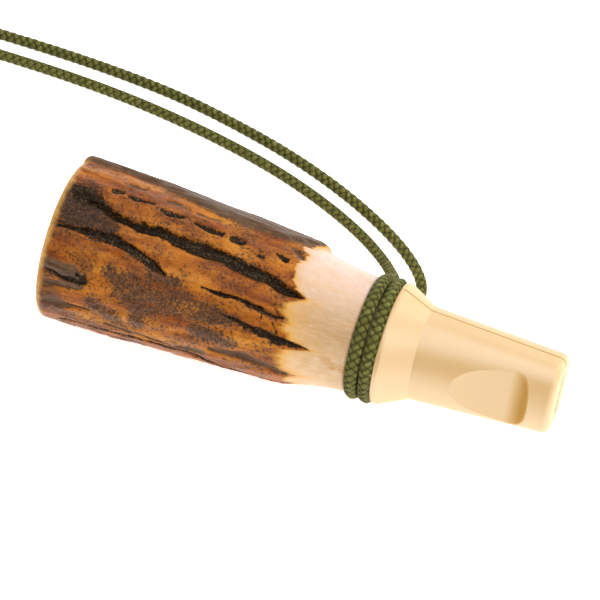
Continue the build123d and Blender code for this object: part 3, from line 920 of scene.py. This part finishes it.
# How far each point lies from a mark's line, as a share of the mark's half width there
def markDistance(x, arc, places, arcPerDegree):
    nearest = np.full(x.shape, np.inf)
    for (startX, startAngle, startWide), (endX, endAngle, endWide) in zip(places, places[1:]):
        alongX = endX - startX
        alongArc = (endAngle - startAngle) * arcPerDegree
        offsetX = x - startX
        offsetArc = arc - startAngle * arcPerDegree
        share = np.clip((offsetX * alongX + offsetArc * alongArc) / (alongX**2 + alongArc**2), 0.0, 1.0)
        gap = np.hypot(offsetX - share * alongX, offsetArc - share * alongArc)
        nearest = np.minimum(nearest, gap / (startWide + (endWide - startWide) * share))
    return nearest


# Rows of the outer skin from the neck's end to the bell: places along the barrel and how deep they are sunk
def skinRows(settings):
    bark = settings["barkLength"]
    end = settings["neckEnd"]
    rows = settings["rows"]
    neckRound = settings["neckRound"]
    bellRound = settings["bellRound"]
    neckArc = np.linspace(0, math.pi / 2, rows["neckRound"] + 1)
    bellArc = np.linspace(math.pi / 2, 0, rows["bellRound"] + 1)
    skin = [(end - neckRound + neckRound * math.cos(arc), neckRound * (1 - math.sin(arc))) for arc in neckArc]
    skin += [(place, 0.0) for place in np.linspace(end - neckRound, bark, rows["neck"] + 1)[1:]]
    skin += [(place, 0.0) for place in np.linspace(bark, bellRound, rows["bark"] + 1)[1:]]
    skin += [(bellRound - bellRound * math.cos(arc), bellRound * (1 - math.sin(arc))) for arc in bellArc[1:]]
    return np.array(skin)


# The skin before it gets its bark, and the way outwards at each point
def smoothSkin(settings, x, turn):
    bark = settings["barkLength"]
    onBark = x < bark
    barkWide = lengthwise(x, settings["halfWidths"], 0.0, bark)
    neckWide = lengthwise(x, settings["neckRadii"], bark, settings["neckEnd"])
    wide = np.where(onBark, barkWide, neckWide)
    rise = np.where(onBark, lengthwise(x, settings["rises"], 0.0, bark), 0.0)
    below = np.where(onBark, settings["underside"] + rise, wide)
    high = np.where(np.cos(turn) > 0, wide, below)
    points = np.stack([x, -wide * np.sin(turn), rise + high * np.cos(turn)], axis=-1)
    normal = np.stack([np.zeros_like(x), -np.sin(turn) / wide, np.cos(turn) / high], axis=-1)
    return points, normal / np.linalg.norm(normal, axis=-1, keepdims=True)


# The bark's height at each point of the skin, and how strong each mark is there
def barkSurface(settings, x, degrees, points):
    noises = {}
    for shift, (name, (alongCell, acrossCell)) in enumerate(barkNoises.items()):
        cells = (alongCell, acrossCell, acrossCell)
        noises[name] = latticeNoise(points, cells, settings["seed"] + shift) - 0.5
    ragged = noises["ragged"]
    wander = noises["wander"]
    fluting = noises["fluting"]
    grit = noises["grit"]

    # Marks with ragged edges
    arcPerDegree = math.radians(1.0) * settings["halfWidths"][1]
    strayAlong, strayRound = settings["markWander"]
    arc = degrees * arcPerDegree + strayRound * wander + settings["markRagged"] * ragged
    spotX = x + strayAlong * wander
    relief = np.zeros_like(x)
    masks = {kind: np.zeros_like(x) for kind in markEdges}
    for kind, height, places in barkMarks:
        near = markDistance(spotX, arc, places, arcPerDegree)
        reliefEdge, colourEdge = markEdges[kind]
        relief += height * (1 - easeBetween(near, *reliefEdge))
        masks[kind] = np.maximum(masks[kind], 1 - easeBetween(near, *colourEdge))
    ridge = masks["ridge"]

    # The bark ends in splinters, and it fades more softly on the front than on top
    edgeAngles, edgePlaces = zip(*barkEdge)
    edge = np.interp(degrees, edgeAngles, edgePlaces, period=360)
    past = x - edge - settings["edgeWander"] * wander - settings["edgeSplinter"] * noises["splinter"]
    firm, soft = settings["edgeSoftness"]
    softness = firm + (soft - firm) * easeBetween(degrees, *settings["softAngles"])
    bare = easeBetween(past, -softness, softness)
    halo = np.exp(-(np.maximum(past, 0) / (settings["haloReach"] * softness)) ** 2)
    wornRagged, rimRagged = settings["rimRagged"]
    worn = 1 - easeBetween(x + wornRagged * ragged, *settings["wornSpan"])
    rim = 1 - easeBetween(x + rimRagged * ragged, *settings["rimSpan"])

    # Lengthwise grain and pebbles over the bark, fading out on the rim and the neck
    heights = settings["relief"]
    grainy = heights["grain"] * noises["grain"] + heights["pebble"] * noises["pebble"]
    relief += grainy * (1 - settings["ridgeCalm"] * ridge)
    relief += heights["ridgeFlutes"] * fluting * ridge
    relief += (heights["furrowFlutes"] * fluting + heights["furrowGrit"] * grit) * masks["furrow"]
    relief += heights["duskGrit"] * grit * np.maximum(masks["dusk"], masks["shade"])
    relief = relief * (1 - bare) * (1 - settings["wornLoss"] * worn * (1 - ridge))
    relief += heights["neckFlutes"] * fluting * bare
    for kind in ("furrow", "streak", "ridge", "dusk"):
        masks[kind] = masks[kind] * (1 - bare)
    rim = rim * (1 - settings["ridgeOverRim"] * ridge)
    return relief, {**masks, "bare": bare, "halo": halo * bare, "rim": rim}


def makeAntler(settings):
    rows = settings["rows"]
    firstAngle, lastAngle = settings["frontAngles"]
    front = np.linspace(firstAngle, lastAngle, settings["frontColumns"], endpoint=False)
    back = np.linspace(lastAngle, firstAngle + 360, settings["backColumns"], endpoint=False)
    degrees = np.concatenate([front, back])
    turn = np.radians(degrees)
    places, sunk = skinRows(settings).T
    x = places[:, None] * np.ones_like(turn)
    skin, outwards = smoothSkin(settings, x, turn)
    relief, marks = barkSurface(settings, x, np.where(degrees > 180, degrees - 360, degrees), skin)
    skin = skin + outwards * (relief - sunk[:, None])[..., None]
    skin[..., 2] = np.maximum(skin[..., 2], floorHeight / millimetre)

    def tube(radius, start, stop, count):
        circle = (-radius * np.sin(turn), radius * np.cos(turn))
        stations = np.linspace(start, stop, count + 1)
        return [np.stack([np.full_like(turn, station), *circle], axis=-1) for station in stations]

    def between(first, last, count):
        return [first + (last - first) * share for share in np.linspace(0, 1, count + 1)[1:-1]]

    # One closed skin: through the bore and the socket, over the neck's end, back over the bark and the bell
    inside = tube(settings["boreRadius"], 0, settings["socketStart"], rows["bore"])
    inside += tube(settings["socketRadius"], settings["socketStart"], settings["neckEnd"], rows["socket"])
    neckFace = between(inside[-1], skin[0], rows["end"])
    bellFace = between(skin[-1], inside[0], rows["face"])
    points = np.concatenate([np.array(inside + neckFace), skin, np.array(bellFace)])
    count, columns = points.shape[:2]
    before = len(inside) + len(neckFace)
    attributes = {}
    for name, values in marks.items():
        filled = np.full((count, columns), 1.0 if name == "bare" else 0.0)
        filled[before:before + len(values)] = values
        attributes[name] = filled.ravel()
    return makeMesh("antlerBarrel", points.reshape(-1, 3) * millimetre, ringFaces(count, columns), attributes)


# Tones of the bark and the neck: ramps of places with their colours, and single colours
antlerTones = {
    "amber": [
        (0.28, (0.17, 0.036, 0.004)),
        (0.42, (0.34, 0.082, 0.006)),
        (0.56, (0.54, 0.17, 0.012)),
        (0.74, (0.74, 0.30, 0.036)),
    ],
    "pepper": (0.05, 0.016, 0.004),
    "rust": (0.13, 0.042, 0.014),
    "dusk": [(0.36, (0.032, 0.015, 0.007)), (0.5, (0.095, 0.044, 0.022)), (0.66, (0.20, 0.092, 0.04))],
    "shade": [(0.36, (0.012, 0.007, 0.005)), (0.5, (0.045, 0.019, 0.009)), (0.68, (0.17, 0.062, 0.018))],
    "grey": [(0.3, (0.048, 0.026, 0.013)), (0.5, (0.11, 0.063, 0.034)), (0.72, (0.22, 0.14, 0.085))],
    "greyBlotch": (0.13, 0.055, 0.02),
    "black": [(0.4, (0.007, 0.0035, 0.0015)), (0.53, (0.034, 0.019, 0.008)), (0.66, (0.20, 0.145, 0.085))],
    "blackStreak": (0.012, 0.006, 0.003),
    "rim": ((0.90, 0.52, 0.15), (0.76, 0.36, 0.06)),
    # Across the neck from front to back: the bone's own cream, tan and pink, with painted light at the front
    # and back edges and painted shade in the golden middle
    "neck": [
        (0.0, (0.86, 0.62, 0.38)),
        (0.32, (0.58, 0.36, 0.165)),
        (0.62, (0.76, 0.52, 0.35)),
        (0.85, (0.87, 0.63, 0.52)),
    ],
    "neckTints": (
        ("striae", 0.35, (0.45, 0.75), (0.93, 0.75, 0.62)),
        ("blotches", 0.45, (0.5, 0.68), (0.60, 0.36, 0.18)),
        ("streaks", 0.4, (0.5, 0.7), (0.70, 0.44, 0.22)),
    ),
    "halo": (0.80, 0.42, 0.12),
    "pores": ((0.70, 0.47, 0.25), (0.30, 0.16, 0.06)),
    "stain": (0.58, 0.25, 0.045),
    "barkEdge": (0.80, 0.40, 0.075),
}

# Fades in the looks: the values at both ends, and where on the scale of their noise or place those lie
antlerFades = {
    "pepper": (0.0, 1.0, 0.5, 0.62),
    "pepperPatches": (0.15, 1.0, 0.4, 0.58),
    "rust": (0.0, 1.0, 0.42, 0.64),
    "rustAlong": (0.8, 0.45, 0.002, 0.03),
    "greyBlotches": (0.0, 0.5, 0.46, 0.6),
    "blackStreaks": (0.0, 0.85, 0.42, 0.62),
    "rim": (0.0, 1.0, 0.4, 0.62),
    "neckAcross": (0.0, 1.0, -0.009, 0.011),
    "core": (0.75, 0.0, 0.0086, 0.0108),
    "bellFace": (1.0, 0.0, 0.0008, 0.002),
    "pores": (0.0, 1.0, 0.44, 0.58),
    "barkEdge": (0.0, 1.0, 0.2, 0.55),
    "neck": (0.0, 1.0, 0.45, 0.95),
    "roughness": (0.27, 0.52),
    "furrowGloss": (0.2, 0.08),
    "bump": (0.55, 0.06),
}

# Noises in the colours: fineness along the barrel against that across it, scale, detail and roughness
antlerGrains = {
    "streaks": (0.2, 380.0, 5.0, 0.6),
    "striae": (0.09, 2400.0, 3.0, 0.6),
    "blotches": (1.0, 190.0, 6.0, 0.65),
    "grains": (1.0, 1500.0, 4.0, 0.7),
    "specks": (1.0, 2900.0, 3.0, 0.7),
    "coarse": (1.0, 1900.0, 3.0, 0.7),
}

# How each mark shows in the colours: the noise that breaks up its edge, strength, roughness and fade
markTints = {
    "dusk": ("mottled", 0.9, 5.0, (0.25, 0.85)),
    "shade": ("mottled", 0.95, 4.0, (0.1, 0.7)),
    "ridge": ("mottled", 0.95, 2.0, (0.15, 0.65)),
    "streak": ("grains", 0.9, 1.3, (0.34, 0.66)),
    "furrow": ("coarse", 1.0, 2.2, (0.25, 0.75)),
    "stain": ("mottled", 0.7, 5.0, (0.35, 1.5)),
}


def antlerNoises(shader):
    noises = {}
    for name, (fineness, scale, detail, roughness) in antlerGrains.items():
        noises[name] = shader.noise(shader.coordinates((fineness, 1.0, 1.0)), scale, detail, roughness)
    for name, first, second in (("mottled", "blotches", "coarse"), ("gritty", "striae", "specks")):
        noises[name] = shader.plus(shader.times(noises[first], 0.3), shader.times(noises[second], 0.7))
    return noises


# A soft mark with its edge broken up by a noise
def brokenMark(shader, kind, noises):
    noise, strength, roughness, fade = markTints[kind]
    rough = shader.times(shader.math("SUBTRACT", noises[noise], 0.5), roughness)
    return shader.spread(shader.plus(shader.attribute(kind), rough), 0.0, strength, *fade)


def barkColour(shader, noises, x, tones, fades):
    blotches = noises["blotches"]
    pepper = shader.times(
        shader.spread(noises["coarse"], *fades["pepper"]), shader.spread(blotches, *fades["pepperPatches"])
    )
    bark = shader.mix(pepper, shader.ramp(noises["streaks"], tones["amber"]), tones["pepper"])
    nearBell = shader.spread(x, *fades["rustAlong"])
    rusty = shader.times(shader.spread(blotches, *fades["rust"]), nearBell)
    bark = shader.mix(rusty, bark, tones["rust"])
    greys = shader.ramp(noises["striae"], tones["grey"])
    greys = shader.mix(shader.spread(blotches, *fades["greyBlotches"]), greys, tones["greyBlotch"])
    blacks = shader.ramp(noises["gritty"], tones["black"])
    streaked = shader.spread(noises["streaks"], *fades["blackStreaks"])
    blacks = shader.mix(streaked, blacks, tones["blackStreak"])
    layers = {
        "dusk": shader.ramp(noises["specks"], tones["dusk"]),
        "shade": shader.ramp(noises["specks"], tones["shade"]),
        "ridge": greys,
        "streak": greys,
        "furrow": blacks,
    }
    for kind, colour in layers.items():
        bark = shader.mix(brokenMark(shader, kind, noises), bark, colour)
    rim = shader.mix(shader.spread(blotches, *fades["rim"]), *tones["rim"])
    return shader.mix(shader.times(shader.attribute("rim"), 0.9), bark, rim)


# Bare antler: pale in front, then golden, and pink towards the back, partly the bone's own tones and partly
# painted light and shade, lighter at the front and back edges and darker between; with pores round the bore
# at the bell
def neckColour(shader, noises, place, tones, fades):
    swayed = shader.plus(place["Y"], shader.times(noises["blotches"], 0.008))
    cream = shader.ramp(shader.spread(swayed, *fades["neckAcross"]), tones["neck"])
    for noise, strength, fade, tint in tones["neckTints"]:
        cream = shader.mix(shader.spread(noises[noise], 0.0, strength, *fade), cream, tint)
    cream = shader.mix(shader.times(shader.attribute("halo"), 0.5), cream, tones["halo"])
    squares = shader.plus(shader.times(place["Y"], place["Y"]), shader.times(place["Z"], place["Z"]))
    core = shader.spread(shader.math("SQRT", squares), *fades["core"])
    core = shader.times(core, shader.spread(place["X"], *fades["bellFace"]))
    pores = shader.mix(shader.spread(noises["coarse"], *fades["pores"]), *tones["pores"])
    cream = shader.mix(core, cream, pores)
    return shader.mix(brokenMark(shader, "stain", noises), cream, tones["stain"])


def makeAntlerMaterial(tones, fades):
    shader = Shader("antlerBark")
    place = shader.axes(shader.coordinates())
    noises = antlerNoises(shader)
    bark = barkColour(shader, noises, place["X"], tones, fades)
    cream = neckColour(shader, noises, place, tones, fades)
    shared = shader.plus(shader.attribute("bare"), shader.math("SUBTRACT", noises["streaks"], 0.5))
    edged = shader.mix(shader.spread(shared, *fades["barkEdge"]), bark, tones["barkEdge"])
    shader.feed("Base Color", shader.mix(shader.spread(shared, *fades["neck"]), edged, cream))
    shader.feed("Roughness", shader.spread(noises["grains"], *fades["roughness"]))
    shader.feed("Specular IOR Level", shader.spread(shader.attribute("furrow"), *fades["furrowGloss"]))
    shaded = shader.bump(shader.plus(noises["grains"], shader.times(noises["striae"], 0.5)), 0.5, 0.0003)
    shader.link(shader.spread(shader.attribute("bare"), *fades["bump"]), shaded.inputs["Strength"])
    return shader.material


antlerBarrel = makeAntler(antlerSettings)
antlerBarrel.data.materials.append(makeAntlerMaterial(antlerTones, antlerFades))
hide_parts("antler_barrel")
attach(antlerBarrel, "barrel")
print("stage: antler")


# Moulded mouthpiece: ivory plastic with a soft gloss, a darker line where the halves meet, painted shade on
# the end walls of the scoops and painted light over the airway
plasticSettings = {
    "seamNormal": (0.0, -0.8660254, 0.5),
    "seamFade": (0.000108, 0.000288),
    "scoopNormal": (0.0, -0.9063, 0.4226),
    "wallCenter": (0.08706, 0.00849, 0.0),
    "wallRadius": 0.0036,
    "wallSpan": (0.0860, 0.0886),
    "wallFade": (0.0001, 0.0003),
    "airwayAcross": (0.0, 0.5, 0.8660254),
    "airwayFades": ((0.0049, 0.0050), (0.0014, 0.0015)),
    "ivory": ((0.775, 0.475, 0.145), (0.795, 0.495, 0.165)),
    # Dark golden tone of the painted shade on the end walls of the scoops
    "tan": (0.56, 0.28, 0.03),
    "seamTone": (0.60, 0.36, 0.05),
    # Pale tone of the painted light over the airway and round its slot at the mouth end
    "airwayPaintedLight": (0.97, 0.86, 0.60),
    "strengths": {"seam": 0.8, "tan": 0.85, "airway": 0.9},
    "cloudScale": 90.0,
    "roughness": (0.46, 0.52),
    "tanRoughness": 0.4,  # more of it on the wall with painted shade
    "gloss": (0.9, 0.3),  # off the wall with painted shade and on it
}


# The round wall at the mouth end of each scoop, where painted shade goes into the colour
def scoopWallShade(shader, place, settings):
    along = shader.axes(place)["X"]
    spot = shader.node("ShaderNodeCombineXYZ")
    shader.link(along, spot.inputs["X"])
    shader.link(shader.away(place, settings["scoopNormal"]), spot.inputs["Y"])
    reach = shader.node("ShaderNodeVectorMath", operation="DISTANCE")
    reach.inputs[1].default_value = settings["wallCenter"]
    shader.link(spot.outputs["Vector"], reach.inputs[0])
    off = shader.math("ABSOLUTE", shader.math("SUBTRACT", reach.outputs["Value"], settings["wallRadius"]))
    onWall = shader.spread(off, 1.0, 0.0, *settings["wallFade"])
    return shader.times(onWall, shader.spread(along, 0.0, 1.0, *settings["wallSpan"]))


def makePlasticMaterial(settings):
    shader = Shader("ivoryPlastic")
    place = shader.coordinates()
    strengths = settings["strengths"]
    apart = shader.away(place, settings["seamNormal"])
    seam = shader.spread(apart, strengths["seam"], 0.0, *settings["seamFade"])
    cloud = shader.noise(place, settings["cloudScale"], detail=2.0)
    ivory = shader.mix(shader.spread(cloud, 0.0, 0.5), *settings["ivory"])
    # Painted shade: the end wall of each scoop is tinted dark golden and made less glossy, where it turns
    # away from the light
    tanned = scoopWallShade(shader, place, settings)
    ivory = shader.mix(shader.times(tanned, strengths["tan"]), ivory, settings["tan"])
    ivory = shader.mix(seam, ivory, settings["seamTone"])
    # Painted light: a pale tone over the airway between the halves and on the mouth end round its slot, where
    # the slot lies in shade
    aside = shader.away(place, settings["airwayAcross"])
    wideFade, highFade = settings["airwayFades"]
    airwayLight = shader.spread(aside, strengths["airway"], 0.0, *wideFade)
    airwayLight = shader.times(airwayLight, shader.spread(apart, 1.0, 0.0, *highFade))
    shader.feed("Base Color", shader.mix(airwayLight, ivory, settings["airwayPaintedLight"]))
    dull = shader.times(tanned, settings["tanRoughness"])
    shader.feed("Roughness", shader.plus(shader.spread(cloud, *settings["roughness"]), dull))
    shader.set(Subsurface_Weight=0.3, Subsurface_Radius=(1.0, 0.45, 0.15), Subsurface_Scale=0.0018)
    shader.feed("Specular IOR Level", shader.spread(tanned, *settings["gloss"]))
    shader.set(IOR=2.05)
    return shader.material


# Inner pieces: material name, dark and pale tone, range of roughness and scale of the specks
innerFinishes = {
    "spigot_rings": ("sealRubber", (0.011, 0.011, 0.012), (0.022, 0.022, 0.023), (0.5, 0.65), 900.0),
    "tone_board": ("boardPlastic", (0.52, 0.49, 0.42), (0.60, 0.57, 0.49), (0.3, 0.42), 700.0),
    "reed": ("reedFilm", (0.55, 0.56, 0.53), (0.66, 0.67, 0.63), (0.15, 0.25), 500.0),
    "reed_wedge": ("corkWedge", (0.20, 0.10, 0.042), (0.46, 0.28, 0.14), (0.75, 0.92), 1100.0),
}


def makeSpeckled(name, dark, pale, roughness, scale):
    shader = Shader(name)
    specks = shader.noise(shader.coordinates(), scale, detail=5.0, roughness=0.65)
    shader.feed("Base Color", shader.mix(shader.spread(specks, 0.0, 1.0, 0.35, 0.65), dark, pale))
    shader.feed("Roughness", shader.spread(specks, *roughness))
    shader.bump(specks, 0.2, 0.0001)
    return shader.material


def dress(node, material):
    piece = bpy.data.objects[node]
    piece.data.materials.clear()
    piece.data.materials.append(material)


ivoryPlastic = makePlasticMaterial(plasticSettings)
for shell in ("mouthpiece_front_shell", "mouthpiece_back_shell"):
    dress(shell, ivoryPlastic)
for node, finish in innerFinishes.items():
    dress(node, makeSpeckled(*finish))
print("stage: mouthpiece and reed set")


# Plain floor and soft light
stageSettings = {
    "floorSize": 3.0,
    "floorTone": 1.0,
    "floorGlow": 0.75,
    "tentAxis": (0.36, 0.36, 0.86),
    "tentHeights": (0.12, 0.5),
    "tentStrengths": (0.02, 0.52),
    # Name, place, aim, size and energy
    "lights": (
        ("topSoftbox", (0.16, 0.2, 0.95), (0.04, 0.0, 0.0), 0.6, 2.6),
        ("rightSoftbox", (0.8, -0.26, 0.56), (0.06, 0.0, 0.0), 0.55, 2.4),
        ("backSoftbox", (0.64, 0.62, 0.34), (0.06, 0.0, 0.0), 0.42, 1.8),
        ("frontSoftbox", (-0.06, -0.42, 1.0), (0.06, 0.0, 0.0), 0.6, 2.7),
        ("ridgeSoftbox", (0.0, 0.9, 0.42), (0.06, 0.0, 0.0), 0.5, 1.0),
    ),
}


def makeFloor(settings):
    half = settings["floorSize"] / 2
    corners = [(half * x, half * y, floorHeight) for x, y in ((-1, -1), (1, -1), (1, 1), (-1, 1))]
    floor = makeMesh("floor", corners, [(0, 1, 2, 3)])
    shader = Shader("paleFloor")
    tone = settings["floorTone"]
    shader.set(Base_Color=(tone, tone, tone, 1.0), Roughness=0.9)
    shader.set(Emission_Color=(1.0, 1.0, 1.0, 1.0), Emission_Strength=settings["floorGlow"])
    floor.data.materials.append(shader.material)


# A white tent, bright on the side that its axis points to and dark on the other
def makeTent(settings):
    world = bpy.data.worlds.new("softWorld")
    world.use_nodes = True
    tent = NodeTree(world.node_tree)
    background = tent.tree.nodes["Background"]
    background.inputs["Color"].default_value = (1.0, 1.0, 1.0, 1.0)
    direction = tent.node("ShaderNodeTexCoord")
    lean = tent.node("ShaderNodeVectorMath", operation="DOT_PRODUCT")
    lean.inputs[1].default_value = settings["tentAxis"]
    rise = tent.node("ShaderNodeMapRange", interpolation_type="SMOOTHSTEP")
    limits = (*settings["tentHeights"], *settings["tentStrengths"])
    for key, value in zip(("From Min", "From Max", "To Min", "To Max"), limits):
        rise.inputs[key].default_value = value
    tent.link(direction.outputs["Generated"], lean.inputs[0])
    tent.link(lean.outputs["Value"], rise.inputs["Value"])
    tent.link(rise.outputs["Result"], background.inputs["Strength"])
    bpy.context.scene.world = world


def makeLights(settings):
    for name, place, aim, size, energy in settings["lights"]:
        data = bpy.data.lights.new(name, "AREA")
        data.size = size
        data.energy = energy
        lamp = bpy.data.objects.new(name, data)
        lamp.location = place
        lamp.rotation_euler = (Vector(aim) - Vector(place)).to_track_quat("-Z", "Y").to_euler()
        lamp.visible_camera = False
        bpy.context.collection.objects.link(lamp)


makeFloor(stageSettings)
makeTent(stageSettings)
makeLights(stageSettings)
bpy.context.scene.view_settings.view_transform = "Standard"
print("stage: floor and light")
